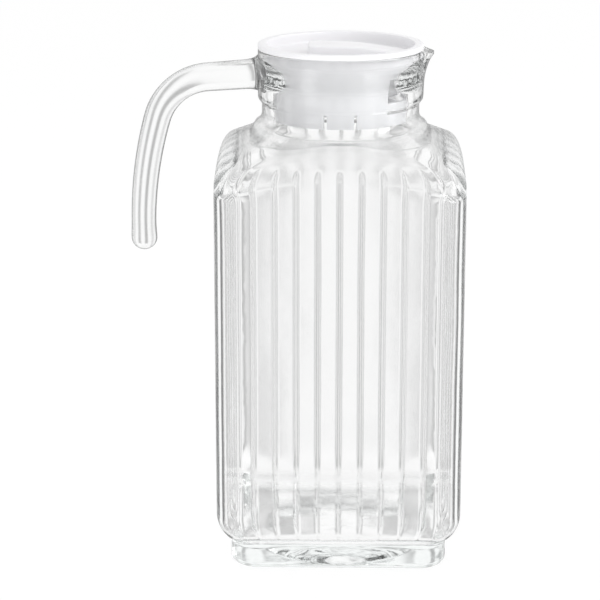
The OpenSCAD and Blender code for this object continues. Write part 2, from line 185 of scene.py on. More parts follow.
def jugProfiles():
    # Outside and inside profiles of the jug, both from the bottom up.
    j = jug
    wall0 = j["footHeight"] + j["curveHeight"]
    wall1 = wall0 + j["wallHeight"]
    slope = np.radians(j["shoulderSlope"])
    slopeTurn = 90 - j["shoulderSlope"]
    curveTurn = 2 * np.degrees(np.arctan(j["curveIn"] / j["curveHeight"]))
    curveRadius = j["curveHeight"] / np.sin(np.radians(curveTurn))
    neckFoot = rimHeight - j["neckHeight"]
    footHalf = bodyHalf - j["footIn"]
    ball = (j["kickRadius"] ** 2 + j["kickHeight"] ** 2) / (2 * j["kickHeight"])
    corner = j["cornerRadius"]
    shoulderEnd = bodyHalf - j["shoulderRadius"] * (1 - np.cos(np.radians(slopeTurn)))

    def slopeHeight(half):
        # The shoulder falls straight away from the neck's foot: neckFoot - (half - neckRadius) * tan(slope).
        return neckFoot - (half - j["neckRadius"]) * np.tan(slope)

    def grownCorner(half, endRadius):
        # The corners' radius grows in step with the half width, up to a full circle at endRadius.
        return corner + (shoulderEnd - half) / (shoulderEnd - endRadius) * (endRadius - corner)

    kick = j["kickRadius"] * np.sin(arc(4, 90, 12))
    heel = arc(0, 90, 7)
    curve = arc(curveTurn, 0, 10)
    bend = np.radians(slopeTurn) * np.linspace(0, 1, 15) ** 1.3
    slopeHalf = np.linspace(shoulderEnd, j["neckRadius"] + j["flare"] * 0.85, 9)[1:]
    flare = arc(slopeTurn - 4, 0, 7)
    collarFoot = rimHeight - j["collarHeight"]
    rim = arc(0, 90, 4)
    outside = stack(
        (kick, kick, j["kickHeight"] - ball + np.sqrt(ball ** 2 - kick ** 2), 0),
        (np.linspace(j["kickRadius"] + 1, footHalf - j["heel"] - 0.5, 4),
         np.linspace(j["kickRadius"], j["footCorner"] - 1, 4), 0, 0),
        (footHalf - j["heel"] * (1 - np.sin(heel)), j["footCorner"] - j["heel"] / 2 * (1 - np.sin(heel)),
         j["heel"] * (1 - np.cos(heel)), 0),
        (footHalf, j["footCorner"], np.linspace(j["heel"] + 2, j["footHeight"] - j["ledge"], 4), 0),
        (footHalf + 0.25, j["footCorner"] - 0.3, j["footHeight"] - j["ledge"] * 0.35, 0),
        (bodyHalf - curveRadius * (1 - np.cos(curve)), corner, wall0 - curveRadius * np.sin(curve),
         ease(0.0, 0.8, 1 - curve / curve[0])),
        (bodyHalf, corner, np.linspace(wall0, wall1, 18)[1:-1], 1),
        (bodyHalf - j["shoulderRadius"] * (1 - np.cos(bend)), corner,
         wall1 + j["shoulderRadius"] * np.sin(bend), 1),
        (slopeHalf, grownCorner(slopeHalf, j["neckRadius"]), slopeHeight(slopeHalf), 0),
        (j["neckRadius"] + j["flare"] * (1 - np.cos(flare)),) * 2
        + (slopeHeight(j["neckRadius"]) + j["flare"] * (1 - np.sin(flare)) * 0.9 + 0.4, 0),
        (j["neckRadius"], j["neckRadius"],
         np.linspace(slopeHeight(j["neckRadius"]) + j["flare"] + 1.2, collarFoot - j["collarSlope"], 4), 0),
        (np.array([0.15, 0.6, 0.93, 1]) * (collarRadius - j["neckRadius"]) + j["neckRadius"],) * 2
        + (collarFoot - j["collarSlope"] * np.array([0.75, 0.45, 0.15, -0.1]), 0),
        (collarRadius, collarRadius,
         np.linspace(collarFoot + 1.5, rimHeight - j["rimRound"] - 0.4, 13), 0),
        (collarRadius - j["rimRound"] * (1 - np.cos(rim)),) * 2
        + (rimHeight - j["rimRound"] * (1 - np.sin(rim)), 0))

    slopeDrop = j["wall"] / np.cos(slope)
    inHalf = bodyHalf - j["wall"]
    inBend = arc(0, slopeTurn, 12)
    inWallTop = slopeHeight(inHalf) - slopeDrop - j["inRound"] * np.tan(np.radians(slopeTurn / 2))
    throatStart = j["throat"] * np.tan(np.radians(slopeTurn / 2))
    inSlope = np.linspace(inHalf - j["inRound"] * (1 - np.cos(inBend[-1])),
                          j["bore"] + throatStart * np.cos(slope), 8)[1:-1]
    inFlare = arc(slopeTurn, 0, 12)
    rimIn = arc(90, 0, 4)
    throat = slopeHeight(j["bore"]) - slopeDrop
    coneTop = rimHeight - j["mouthDepth"]
    coneLow = coneTop - j["mouthCone"]
    # the inside's floor is a bowl that sweeps up into the wall
    bowl = arc(2, 90, 24)
    bowlHalf = inHalf * np.sin(bowl) ** j["bowlOut"]
    bowlTop = j["base"] + j["bowlHeight"]
    inside = stack(
        (bowlHalf, j["inCorner"] * (bowlHalf / bowlHalf[-1]) ** 0.5,
         j["base"] + j["bowlHeight"] * (1 - np.cos(bowl)) ** j["bowlUp"], 0),
        (inHalf, j["inCorner"], np.linspace(bowlTop, inWallTop, 20)[1:-1], 0),
        (inHalf - j["inRound"] * (1 - np.cos(inBend)), j["inCorner"],
         inWallTop + j["inRound"] * np.sin(inBend), 0),
        (inSlope, grownCorner(inSlope, j["bore"]), slopeHeight(inSlope) - slopeDrop, 0),
        (j["bore"] + j["throat"] * (1 - np.cos(inFlare)),) * 2
        + (throat + throatStart - j["throat"] * np.sin(inFlare), 0),
        (j["bore"], j["bore"], np.linspace(throat + throatStart + 1.5, coneLow, 12), 0),
        (np.linspace(j["bore"], j["mouth"], 5)[1:-1],) * 2 + (np.linspace(coneLow, coneTop, 5)[1:-1], 0),
        (j["mouth"], j["mouth"], np.linspace(coneTop, rimHeight - j["rimRound"], 4), 0),
        (j["mouth"] + j["rimRound"] * 0.6 * (1 - np.sin(rimIn)),) * 2
        + (rimHeight - j["rimRound"] * 0.6 * (1 - np.cos(rimIn)), 0))
    return outside, inside


def waves(angle, height, seed, lengths):
    # Sum of smooth sine waves round the axis and along it, between about -1 and 1.
    draw = np.random.default_rng(seed)
    total = 0
    for around, along in lengths:
        first, second = draw.uniform(0, 2 * np.pi, 2)
        total = total + np.sin(around * angle + first + 0.6 * np.sin(height / along / 1.7)) \
            * np.sin(2 * np.pi * height / along + second)
    return total / len(lengths)


def lipReachOf(angle, height, radius, footReach, topReach, power):
    # Reach of the lip's round plan, whose middle moves outward with height, in each direction.
    foot = rimHeight - jug["lipHeight"]
    share = np.clip((height - foot) / (jug["lipHeight"] - jug["lipDrop"]), 0, 1)
    middle = footReach + (topReach - footReach) * share ** power - radius
    under = radius ** 2 - (middle * np.sin(angle)) ** 2
    out = middle * np.cos(angle) + np.sqrt(np.maximum(under, 0))
    return np.where((under > 0) & (np.cos(angle) > 0) & (height > foot), out, 0)


def jugGrid(profile, inner, angle, normal, groove):
    # Points (rows, columns) of one side of the glass: the reach of each row's outline, pushed out by the lip
    # with a smooth maximum, less the foot's hollows, plus the waves, less the grooves along the normal. Rows
    # fall towards the body's corners by the share that the outline reaches past its half width.
    half, corner, height, dip = (value[:, None] for value in profile)
    wallTop = jug["footHeight"] + jug["curveHeight"] + jug["wallHeight"]
    r = reach(angle, half, corner)
    if inner:
        lip = lipReachOf(angle, height, jug["lipRadius"] - jug["lipWall"], jug["bore"] - 1,
                         collarRadius + jug["lipReach"] - jug["lipWall"], 1)
        size, lengths = unevenness["inside"]
    else:
        lip = lipReachOf(angle, height, jug["lipRadius"], collarRadius - overlap,
                         collarRadius + jug["lipReach"], 2)
        size, lengths = unevenness["skin"]
    out = np.where(lip > 0, smoothMax(r, lip, jug["lipBlend"]), r)
    drop = jug["lipDrop"] * ease(0, jug["lipReach"], out - r) * ease(rimHeight - 6, rimHeight, height)
    calm = 1 - ease(rimHeight - 36, rimHeight - 24, height)
    uneven = size * waves(angle, height, 3 + inner, lengths) * calm * ease(0, 20, half)
    excess = np.sqrt(2) - (np.sqrt(2) - 1) * jug["cornerRadius"] / bodyHalf - 1
    fall = jug["cornerFall"] * (r / half - 1) / excess * ease(wallTop - 16, wallTop + 2, height)
    z = height - drop - fall * (half > jug["neckRadius"] * 0.85)
    depth = jug["grooveDepth"] * dip * groove * (1 - ease(jug["grooveTop"] - 4, jug["grooveTop"], z))
    if inner:
        floorSize, lengths = unevenness["floor"]
        floorWave = floorSize * waves(angle, half, 11, lengths)
        z = z + floorWave * (1 - ease(jug["base"] + 1, jug["base"] + 9, height))
    else:
        uneven = uneven - size                        # waves only cut into the skin, so its box stays
        footSize, lengths = unevenness["foot"]
        hollows = footSize * (1 + waves(angle, height, 9, lengths)) / 2
        onFoot = (1 - ease(jug["footHeight"] - 2, jug["footHeight"], height)) * ease(30, 45, half)
        out = out - hollows * onFoot
        kickSize, lengths = unevenness["kick"]
        kickWave = kickSize * (1 + waves(angle, half, 5, lengths))
        kickShare = ease(3, 12, half) * (1 - ease(jug["kickRadius"] - 6, jug["kickRadius"], half))
        z = z + kickWave * kickShare * (height < jug["kickHeight"] + 0.1)
    x = (out + uneven) * np.cos(angle) - depth * np.cos(normal)
    y = (out + uneven) * np.sin(angle) - depth * np.sin(normal)
    return np.stack(np.broadcast_arrays(x, y, z), -1)


def makeJug():
    # One skin: the outside from the bottom up, and then the inside from the rim down.
    angle, normal, groove = outlineWalk()
    outside, inside = [jugGrid(profile, inner, angle[None], normal, groove)
                       for inner, profile in enumerate(jugProfiles())]
    return buildMesh("jug_glass", *closedGrid(np.concatenate([outside, inside[::-1]])))


# The handle: a round rod along a straight run, a bend and a long curve, ending on the collar

handle = {
    "rootBelowRim": 11.3, "droop": 4.3, "run": 22.0, "bendRadius": 25.0, "bendAngle": 74.0,
    "legRadius": 174.0, "legAngle": 92.0, "rootRadius": 6.5, "tipRadius": 5.35,
    "spread": 1.5, "spreadLength": 6.0, "knob": 0.35, "knobLength": 5.0, "sides": 64,
}


def handlePath(length):
    # Place (x, z) and direction below level after a length: line, then arc, then a wide arc.
    run, bend, leg = handle["run"], handle["bendRadius"], handle["legRadius"]
    droop, bendEnd, legEnd = np.radians([handle["droop"], handle["bendAngle"], handle["legAngle"]])
    bendLength = bend * (bendEnd - droop)
    s = droop + np.clip(length - run, 0, bendLength) / bend
    t = bendEnd + np.maximum(length - run - bendLength, 0) / leg
    straight = np.minimum(length, run)
    x = -collarRadius - straight * np.cos(droop) + bend * (np.sin(droop) - np.sin(s)) \
        + leg * (np.sin(bendEnd) - np.sin(t))
    z = rimHeight - handle["rootBelowRim"] - straight * np.sin(droop) \
        - bend * (np.cos(droop) - np.cos(s)) - leg * (np.cos(bendEnd) - np.cos(t))
    return x, z, np.where(t > bendEnd, t, s), run + bendLength + leg * (legEnd - bendEnd)


def makeHandle():
    # Rings across the path; the first ones lie on the collar, so that the root grows out of it.
    total = handlePath(np.array([0.0]))[3]
    length = np.concatenate([handle["spreadLength"] * np.linspace(0, 1, 8)[1:] ** 1.5,
                             np.linspace(handle["spreadLength"] + 2, total, 60)])
    dome = arc(0, 86, 9)[1:]
    x, z, s, _ = handlePath(np.concatenate([length, np.full(len(dome), total)]))
    radius = handle["rootRadius"] + (handle["tipRadius"] - handle["rootRadius"]) * length / total
    spread = np.clip(1 - length / handle["spreadLength"], 0, 1)
    radius = radius + handle["spread"] * (1 - np.sqrt(np.maximum(0, 1 - spread ** 2)))
    radius = radius + handle["knob"] * np.exp(-((total - length) / handle["knobLength"]) ** 2)
    radius = np.concatenate([radius, radius[-1] * np.cos(dome)])
    on = np.concatenate([np.zeros(len(length)), handle["tipRadius"] * np.sin(dome)])
    around = np.linspace(0, 2 * np.pi, handle["sides"], endpoint=False)
    across = radius[:, None] * np.cos(around)
    rings = np.stack([(x - on * np.cos(s))[:, None] - across * np.sin(s)[:, None],
                      radius[:, None] * np.sin(around),
                      (z - on * np.sin(s))[:, None] + across * np.cos(s)[:, None]], -1)
    # four rings on cylinders about the collar's own axis: three inside its glass and one at its skin
    rootRadius = handle["rootRadius"] + handle["spread"]
    rootZ = rimHeight - handle["rootBelowRim"]
    roots = []
    for depth in (1.6, 0.8, overlap, 0.0):
        ring = rootRadius + 0.3 * (depth == 0.0)
        y, rootRise = ring * np.sin(around), ring * np.cos(around)
        roots.append(np.stack([-np.sqrt((collarRadius - depth) ** 2 - y ** 2), y, rootZ + rootRise], -1))
    blendIn = 1 - ease(0, handle["spreadLength"], length)[:, None]
    skin = -np.sqrt(collarRadius ** 2 - rings[:len(length), :, 1] ** 2) + collarRadius
    rings[:len(length), :, 0] += skin * blendIn
    return buildMesh("handle_glass", *closedGrid(np.concatenate([np.stack(roots), rings])))


# The lid: a turned moulding whose skirt is a thick sheet with openings, and a grip in its recess

lid = {
    "plastic": 1.4, "gap": 0.3, "flange": 2.2, "flangeRound": 0.8, "recess": 4.8, "skirt": 31.0,
    "recessRound": 1.2, "innerRound": 0.5, "seatRound": 0.3, "softEdge": 0.25, "columnStep": 2.0,
    "windowAngle": 50.0, "reliefAngle": 25.0, "windowTop": 10.0, "windowHeight": 10.0,
    "strip": 1.6, "slot": 3.0, "slit": 1.3, "slitHeight": 8.0, "tongue": 11.0,
    "gripWidth": 16.0, "gripBack": 14.3, "gripLevel": 4.0, "gripLow": 0.5, "gripRound": 0.9, "gripSquare": 14,
}


def lidColumns():
    # Angles of the columns: even ones, with exact ones at the edges of the window and the slits.
    skirt = jug["bore"] - lid["gap"]
    edges = [-lid["windowAngle"], lid["windowAngle"], -lid["reliefAngle"], lid["reliefAngle"]]
    slitSides = []
    for slit in (-1, 1):
        middle = slit * (lid["tongue"] + lid["slit"]) / 2
        sides = np.array([middle - lid["slit"] / 2, middle + lid["slit"] / 2])
        slitSides.append(np.degrees(np.arcsin(sides / skirt)))
    for centre in (-90, 90):
        for sides in slitSides:
            edges.extend(centre + sides)
    edges = np.array(edges) % 360
    even = np.arange(0, 360, lid["columnStep"]) + 0.5
    apart = np.abs((even[:, None] - edges[None] + 180) % 360 - 180).min(1)
    return np.sort(np.concatenate([even[apart > 1.1], edges]))


def makeLidShell():
    # Rows turned round the axis. The skirt's outer and inner walls are the same grid at two radii; cells
    # in its openings are left out, and every edge between a kept and a missing cell gets a wall.
    columns = lidColumns()
    count = len(columns)
    t = lid["plastic"]
    cup = jug["mouth"] - lid["gap"]
    outer = jug["bore"] - lid["gap"]
    inner = outer - t
    top = rimHeight + lid["flange"]
    recessFloor = top - lid["recess"]
    cupFloor = recessFloor - t
    bottom = rimHeight - lid["skirt"]
    windowTop = rimHeight - lid["windowTop"]
    windowLow = windowTop - lid["windowHeight"]
    slotTop = windowLow - lid["strip"]
    slotLow = slotTop - lid["slot"]
    slitTop = bottom + lid["slitHeight"]
    coneTop = rimHeight - jug["mouthDepth"]
    coneLow = coneTop - jug["mouthCone"]
    levels = [cupFloor, coneTop, windowTop, coneLow, windowLow, slotTop, slotLow, slitTop, bottom]
    levels = np.sort(np.array(levels))[::-1]
    edge = arc(0, 90, 5)
    recess = cup - t
    early, late = 1 - np.cos(edge), 1 - np.sin(edge)
    recessRound, innerRound = lid["recessRound"], lid["innerRound"]
    flangeRound, seatRound = lid["flangeRound"], lid["seatRound"]
    upper = np.concatenate([
        np.stack([recess * np.linspace(0.05, 0.93, 10), np.full(10, recessFloor)], -1),
        np.stack([recess - recessRound * late, recessFloor + recessRound * early], -1),
        np.stack([recess + innerRound * early, top - innerRound * late], -1),
        np.stack([collarRadius - flangeRound * late, top - flangeRound * early], -1),
        np.stack([collarRadius - seatRound * early, rimHeight + seatRound * late], -1),
        [[cup + 0.25, rimHeight], [cup, rimHeight - 0.3]]])
    # the cup's wall goes on down as a cone along the glass; on the lip's side a step leaves its channel open
    step = np.concatenate([np.stack([cup - flangeRound * early, cupFloor + flangeRound * late], -1),
                           [[outer + 0.1, cupFloor]]])
    plain = np.stack([np.full(len(step), cup), np.linspace(rimHeight - 0.7, cupFloor + 0.1, len(step))], -1)
    lower = np.stack([inner * np.linspace(0.97, 0.05, 8), np.full(8, cupFloor)], -1)
    a = np.radians(columns)
    lipSide = (np.abs((columns + 180) % 360 - 180) <= lid["reliefAngle"] + 0.1)[None, :, None]

    def turn(radii, heights):
        # A profile turned round the axis: (radius * cos, radius * sin, height) for each column.
        return np.stack([radii[:, None] * np.cos(a), radii[:, None] * np.sin(a),
                         np.broadcast_to(heights[:, None], (len(radii), count))], -1)

    def either(lipRows, otherRows):
        # One profile on the lip's side, and another in the other columns.
        return np.where(lipSide, turn(*np.array(lipRows).T), turn(*np.array(otherRows).T))

    def wall(low, high, top):
        # Upright on the lip's side, and widening from one radius to the other elsewhere.
        wide = low + (high - low) * np.clip((levels - coneLow) / (top - coneLow), 0, 1)
        return either(np.stack([np.full(len(levels), low), levels], -1), np.stack([wide, levels], -1))

    grid = np.concatenate([turn(*upper.T), either(step, plain), wall(outer, cup, coneTop),
                           wall(inner, recess - 0.2, cupFloor), turn(*lower.T)])
    nUpper, nLevels = len(upper) + len(step), len(levels)
    # mask of the skirt's cells: rows between levels, columns between angles
    midHeight = ((levels[1:] + levels[:-1]) / 2)[:, None]
    after = np.append(columns[1:], columns[0] + 360)
    midAngle = (((columns + after) / 2 + 180) % 360 - 180)[None]
    inWindow = (np.abs(midAngle) < lid["windowAngle"]) & (
        ((midHeight < windowTop) & (midHeight > windowLow)) | ((midHeight < slotTop) & (midHeight > slotLow)))
    across = np.abs(outer * np.cos(np.radians(midAngle)))
    inSlit = (np.abs(across - (lid["tongue"] + lid["slit"]) / 2) < lid["slit"] / 2) & (midHeight < slitTop)
    kept = ~(inWindow | inSlit)
    i, j = np.nonzero(kept)
    nextJ = (j + 1) % count
    outFirst, inFirst = nUpper * count, (nUpper + nLevels) * count

    def quads(first, flip):
        # One quad for each kept cell of the sheet whose first point is given.
        corners = [first + i * count + j, first + i * count + nextJ,
                   first + (i + 1) * count + nextJ, first + (i + 1) * count + j]
        return np.stack(corners[::-1] if flip else corners, -1)

    # walls between the two sheets: below and above each kept cell, and at its two sides
    below = np.vstack([kept[1:], np.zeros((1, count), bool)])
    above = np.vstack([np.ones((1, count), bool), kept[:-1]])
    left, right = np.roll(kept, 1, 1), np.roll(kept, -1, 1)
    walls = []
    for missing, start, end in [(~below, (1, 0), (1, 1)), (~above, (0, 1), (0, 0)),
                                (~right, (1, 1), (0, 1)), (~left, (0, 0), (1, 0))]:
        wi, wj = np.nonzero(kept & missing)
        first = (wi + start[0]) * count + (wj + start[1]) % count
        second = (wi + end[0]) * count + (wj + end[1]) % count
        walls.append(np.stack([outFirst + first, inFirst + first, inFirst + second, outFirst + second], -1))
    rowsTop = gridFaces(nUpper + 1, count)[:, ::-1]
    # the inside of the cup's floor meets the skirt's inner top row
    lowFirst = (nUpper + 2 * nLevels) * count
    ring = np.arange(count)
    joinFaces = np.stack([inFirst + ring, inFirst + (ring + 1) % count,
                          lowFirst + (ring + 1) % count, lowFirst + ring], -1)[:, ::-1]
    rowsLow = gridFaces(len(lower), count, lowFirst)[:, ::-1]
    points = np.concatenate([grid.reshape(-1, 3), grid[0].mean(0)[None], grid[-1].mean(0)[None]])
    total = grid.shape[0] * count
    caps = [poleFaces(0, count, total, True), poleFaces(grid.shape[0] - 1, count, total + 1, False)]
    quadSets = [rowsTop, quads(outFirst, True), quads(inFirst, False), np.concatenate(walls),
                joinFaces, rowsLow]
    return points, quadSets + caps


def makeGrip():
    # Rings that shrink from a rounded rectangle to its middle line. Each ring's height follows the
    # grip's side view (level, then falling), less a quarter round at the top edge.
    top = rimHeight + lid["flange"] - 0.2
    recessFloor = rimHeight + lid["flange"] - lid["recess"]
    recess = jug["mouth"] - lid["gap"] - lid["plastic"]
    half = lid["gripWidth"] / 2
    front = np.sqrt(recess ** 2 - half ** 2) + 0.2
    around = np.linspace(0, 2 * np.pi, 96, endpoint=False)
    power = 2 / lid["gripSquare"]
    ux = np.sign(np.cos(around)) * np.abs(np.cos(around)) ** power
    uy = np.sign(np.sin(around)) * np.abs(np.sin(around)) ** power
    centre = (front - lid["gripBack"]) / 2
    halfLength = (front + lid["gripBack"]) / 2
    edge = arc(0, 90, 6)
    gripRound = lid["gripRound"]
    inset = gripRound * (1 - np.cos(edge))
    insets = np.concatenate([[0, 0], inset, gripRound + (half - gripRound) * np.linspace(0.12, 0.97, 7)])
    drops = np.concatenate([[0, 0], gripRound * (1 - np.sin(edge)), np.zeros(7)])
    x = centre + (halfLength - insets)[:, None] * ux
    y = (half - insets)[:, None] * uy
    fallShare = (top - recessFloor - lid["gripLow"]) / (front - lid["gripLevel"])
    soft = np.sqrt((x - lid["gripLevel"]) ** 2 + 1.0)
    z = top - fallShare * np.maximum(0, (x - lid["gripLevel"] + soft) / 2 - 0.5)
    z = np.maximum(z - drops[:, None], recessFloor - 0.6)
    z[0] = recessFloor - 0.6                          # the foot of its walls, sunk in the recess's floor
    z[1] = recessFloor
    return closedGrid(np.stack([x, y, z], -1))


def makeLid():
    # The shell and the grip are two closed skins in one mesh, with their sharp edges softened.
    points, faces = makeLidShell()
    gripPoints, gripFaces = makeGrip()
    moulding = buildMesh("lid_moulding", np.concatenate([points, gripPoints]),
                         faces + [part + len(points) for part in gripFaces])
    bevel = moulding.modifiers.new("softEdges", "BEVEL")
    bevel.width = lid["softEdge"] * mm
    bevel.segments = 2
    bevel.limit_method = "ANGLE"
    bevel.angle_limit = np.radians(50)
    bevel.use_clamp_overlap = True
    return moulding


# Materials. Haze and roughness are from 0 to 1, and lengths and heights are in mm.

# edges: the range of facing over which painted shade darkens the glass's colour towards its edges
glass = {
    "ior": 1.51, "ripple": 0.03, "rippleScale": 160, "rippleDetail": 1,
    "green": (0.58, 0.80, 0.74, 1), "density": 1.1, "shadow": (0.96, 0.97, 0.97, 1), "edges": (0.5, 0.95),
    "jugHaze": (0.0, 0.012), "rodHaze": (0.14, 0.2), "bodyRough": 0.13, "corner": (0.7, 0.8),
    "footShare": 0.5, "lowShare": 0.8, "lowHeights": (30, 100), "slopeShare": 1.4, "neckBlend": 6.0,
}
plastic = {
    "dull": (0.875, 0.87, 0.89, 1), "bright": (0.915, 0.91, 0.925, 1), "rough": (0.30, 0.42),
    "flow": 0.05, "flowDepth": 0.2, "flowScale": 90, "flowDetail": 3, "milky": 0.15, "milkyDepth": 2.0,
}


def newMaterial(name):
    # A material with no nodes yet, and its node tree.
    material = bpy.data.materials.new(name)
    material.use_nodes = True
    material.node_tree.nodes.clear()
    return material, material.node_tree


def addNode(tree, kind, inputs=None, **settings):
    # One node: its own settings first, and then each input gets a value, or a link where it is a socket.
    node = tree.nodes.new("ShaderNode" + kind)
    for name, value in settings.items():
        setattr(node, name, value)
    for name, value in (inputs or {}).items():
        if isinstance(value, bpy.types.NodeSocket):
            tree.links.new(value, node.inputs[name])
        else:
            node.inputs[name].default_value = value
    return node


def addMath(tree, operation, first, second=None):
    # A sum of one or two numbers or sockets, such as first * second.
    values = {0: first} if second is None else {0: first, 1: second}
    return addNode(tree, "Math", values, operation=operation).outputs["Value"]


def addRamp(tree, value, start, end, low, high, shape="SMOOTHSTEP"):
    # The low value below start, the high one above end, and a smooth or straight ramp between them.
    node = addNode(tree, "MapRange", {"Value": value, "From Min": start, "From Max": end,
                                      "To Min": low, "To Max": high}, interpolation_type=shape)
    return node.outputs["Result"]


def addMixed(tree, share, first, second):
    # The first shader where the share is 0, and the second where it is 1.
    return addNode(tree, "MixShader", {"Fac": share, 1: first, 2: second}).outputs["Shader"]


def makeUnevenSurface():
    # Node group: one noise in the piece's own space, put out as a height and as a roughness, which goes from
    # Low to High as the noise goes from 0 to 1.
    group = bpy.data.node_groups.new("uneven_surface", "ShaderNodeTree")
    group.interface.new_socket(name="Vector", in_out="INPUT", socket_type="NodeSocketVector")
    for name in ("Scale", "Detail", "Low", "High"):
        group.interface.new_socket(name=name, in_out="INPUT", socket_type="NodeSocketFloat")
    for name in ("Height", "Roughness"):
        group.interface.new_socket(name=name, in_out="OUTPUT", socket_type="NodeSocketFloat")
    start = group.nodes.new("NodeGroupInput").outputs
    noise = addNode(group, "TexNoise", {name: start[name] for name in ("Vector", "Scale", "Detail")})
    rough = addNode(group, "MapRange", {"Value": noise.outputs["Fac"], "To Min": start["Low"],
                                        "To Max": start["High"]})
    end = group.nodes.new("NodeGroupOutput")
    group.links.new(noise.outputs["Fac"], end.inputs["Height"])
    group.links.new(rough.outputs["Result"], end.inputs["Roughness"])
    return group


def bodyRoughness(tree, apart, below):
    # The moulded body's flat sides are less even than the rest, which softens what is seen through them:
    # 1 below the neck * less on the foot * 0 at the corners * less low down * more on the shoulder.
    height = apart.outputs["Z"]
    wide, deep = addMath(tree, "ABSOLUTE", apart.outputs["X"]), addMath(tree, "ABSOLUTE", apart.outputs["Y"])
    cornered = addMath(tree, "DIVIDE", addMath(tree, "MINIMUM", wide, deep),
                       addMath(tree, "MAXIMUM", wide, deep))
    footTop, curveTop = jug["footHeight"] * mm, (jug["footHeight"] + jug["curveHeight"]) * mm
    slopeLow, slopeHigh = (jug["grooveTop"] - 5) * mm, (jug["grooveTop"] + 3) * mm
    lowStart, lowEnd = glass["lowHeights"][0] * mm, glass["lowHeights"][1] * mm
    rough = below
    for share in [
            addRamp(tree, height, footTop, curveTop, glass["footShare"], 1),
            addRamp(tree, cornered, *glass["corner"], 1, 0),
            addRamp(tree, height, lowStart, lowEnd, glass["bodyRough"] * glass["lowShare"],
                    glass["bodyRough"], "LINEAR"),
            addRamp(tree, height, slopeLow, slopeHigh, 1, glass["slopeShare"])]:
        rough = addMath(tree, "MULTIPLY", rough, share)
    return rough


def glassMaterial(name, haze, onBody):
    # Clear soda-lime glass, slightly green in its thickness, with a faint fire-polished ripple. Its colour
    # carries painted shade, 1 - ramp(facing), darker where the glass is seen edge on, which stands in for the
    # dark edges of thick glass: painted on the rod everywhere, and on the jug only at its neck.
    material, tree = newMaterial(name)
    place = addNode(tree, "TexCoord").outputs["Object"]
    apart = addNode(tree, "SeparateXYZ", {"Vector": place})
    skin = addNode(tree, "Group", {
        "Vector": place, "Scale": glass["rippleScale"], "Detail": glass["rippleDetail"],
        "Low": haze[0], "High": haze[1]}, node_tree=unevenSurface)
    bump = addNode(tree, "Bump", {"Height": skin.outputs["Height"], "Strength": glass["ripple"],
                                  "Distance": mm})
    facing = addNode(tree, "LayerWeight").outputs["Facing"]
    # painted edge shade: 0 where the glass faces the view, 1 where it is seen edge on
    paintedEdgeShade, rough = addRamp(tree, facing, *glass["edges"], 0, 1), skin.outputs["Roughness"]
    if onBody:
        neckFoot, blend = rimHeight - jug["neckHeight"], glass["neckBlend"]
        below = addRamp(tree, apart.outputs["Z"], (neckFoot - blend) * mm, (neckFoot + blend) * mm, 1, 0)
        rough = addMath(tree, "ADD", rough, bodyRoughness(tree, apart, below))
        # on the jug the painted edge shade is kept only at the neck
        paintedEdgeShade = addMath(tree, "MULTIPLY", paintedEdgeShade, addMath(tree, "SUBTRACT", 1.0, below))
    # the glass's colour: white, less the painted edge shade
    clear = addMath(tree, "SUBTRACT", 1.0, paintedEdgeShade)
    colour = addNode(tree, "CombineColor", {"Red": clear, "Green": clear, "Blue": clear})
    surface = addNode(tree, "BsdfPrincipled", {
        "Base Color": colour.outputs["Color"], "Roughness": rough, "Normal": bump.outputs["Normal"],
        "IOR": glass["ior"], "Transmission Weight": 1})
    depth = addNode(tree, "VolumeAbsorption", {"Color": glass["green"], "Density": glass["density"]})
    lightThrough = addNode(tree, "BsdfTransparent", {"Color": glass["shadow"]})
    isShadow = addNode(tree, "LightPath").outputs["Is Shadow Ray"]
    mixed = addMixed(tree, isShadow, surface.outputs["BSDF"], lightThrough.outputs["BSDF"])
    addNode(tree, "OutputMaterial", {"Surface": mixed, "Volume": depth.outputs["Volume"]})
    return material


def plasticMaterial():
    # White moulded plastic: satin, a little translucent, with fine flow marks in its tone and its height.
    material, tree = newMaterial("white_plastic_look")
    place = addNode(tree, "TexCoord").outputs["Object"]
    flow = addNode(tree, "Group", {
        "Vector": place, "Scale": plastic["flowScale"], "Detail": plastic["flowDetail"],
        "Low": plastic["rough"][0], "High": plastic["rough"][1]}, node_tree=unevenSurface)
    height = flow.outputs["Height"]
    tone = addNode(tree, "Mix", {"Factor": height, "A": plastic["dull"], "B": plastic["bright"]},
                   data_type="RGBA")
    bump = addNode(tree, "Bump", {"Height": height, "Strength": plastic["flow"],
                                  "Distance": plastic["flowDepth"] * mm})
    surface = addNode(tree, "BsdfPrincipled", {
        "Base Color": tone.outputs["Result"], "Roughness": flow.outputs["Roughness"],
        "Normal": bump.outputs["Normal"], "Subsurface Weight": plastic["milky"],
        "Subsurface Radius": (plastic["milkyDepth"] * mm,) * 3, "Subsurface Scale": 1})
    addNode(tree, "OutputMaterial", {"Surface": surface.outputs["BSDF"]})
    return material


# Studio: a white room with soft darker bands, seen only through the glass. A band has a middle, a half width,
# the width of its soft edges, and a shade. Strips and cards are in degrees round the pitcher, and the others
# in the height of a ray of length 1.

studio = {
    "leftStrip": (-11.0, 4.5, 6.0, 0.52), "rightStrip": (11.0, 4.5, 6.0, 0.46),
    "card": (20.0, 12.0, 8.0, 0.2), "edgeCard": (55.0, 6.0, 6.0, 0.75), "view": (-0.32, 0.46, 0.12, 0.0),
    "highBand": (0.82, 0.08, 0.1, 0.3), "lowBand": (-0.78, 0.12, 0.1, 0.97), "steep": (0.4, 0.65),
    "room": 0.8,
    "keyPlace": (0.95, -0.3, 0.9), "keyAim": (0, 0, 0.15), "keySize": (0.7, 0.7), "key": 4.9,
    "fillPlace": (0.9, -0.95, 0.12), "fillAim": (0, 0, 0.2), "fillSize": (0.5, 0.4), "fill": 5.2,
    "floorReach": 40.0, "floorSides": 96, "floorTone": (0.8, 0.8, 0.8, 1), "floorGlow": 1.08,
    "floorWhite": 0.8,
    "cameraPlace": (0.0015, -0.9622, 0.3795), "cameraAim": (-0.0177, -0.0004, 0.1104), "lens": 133.96,
}


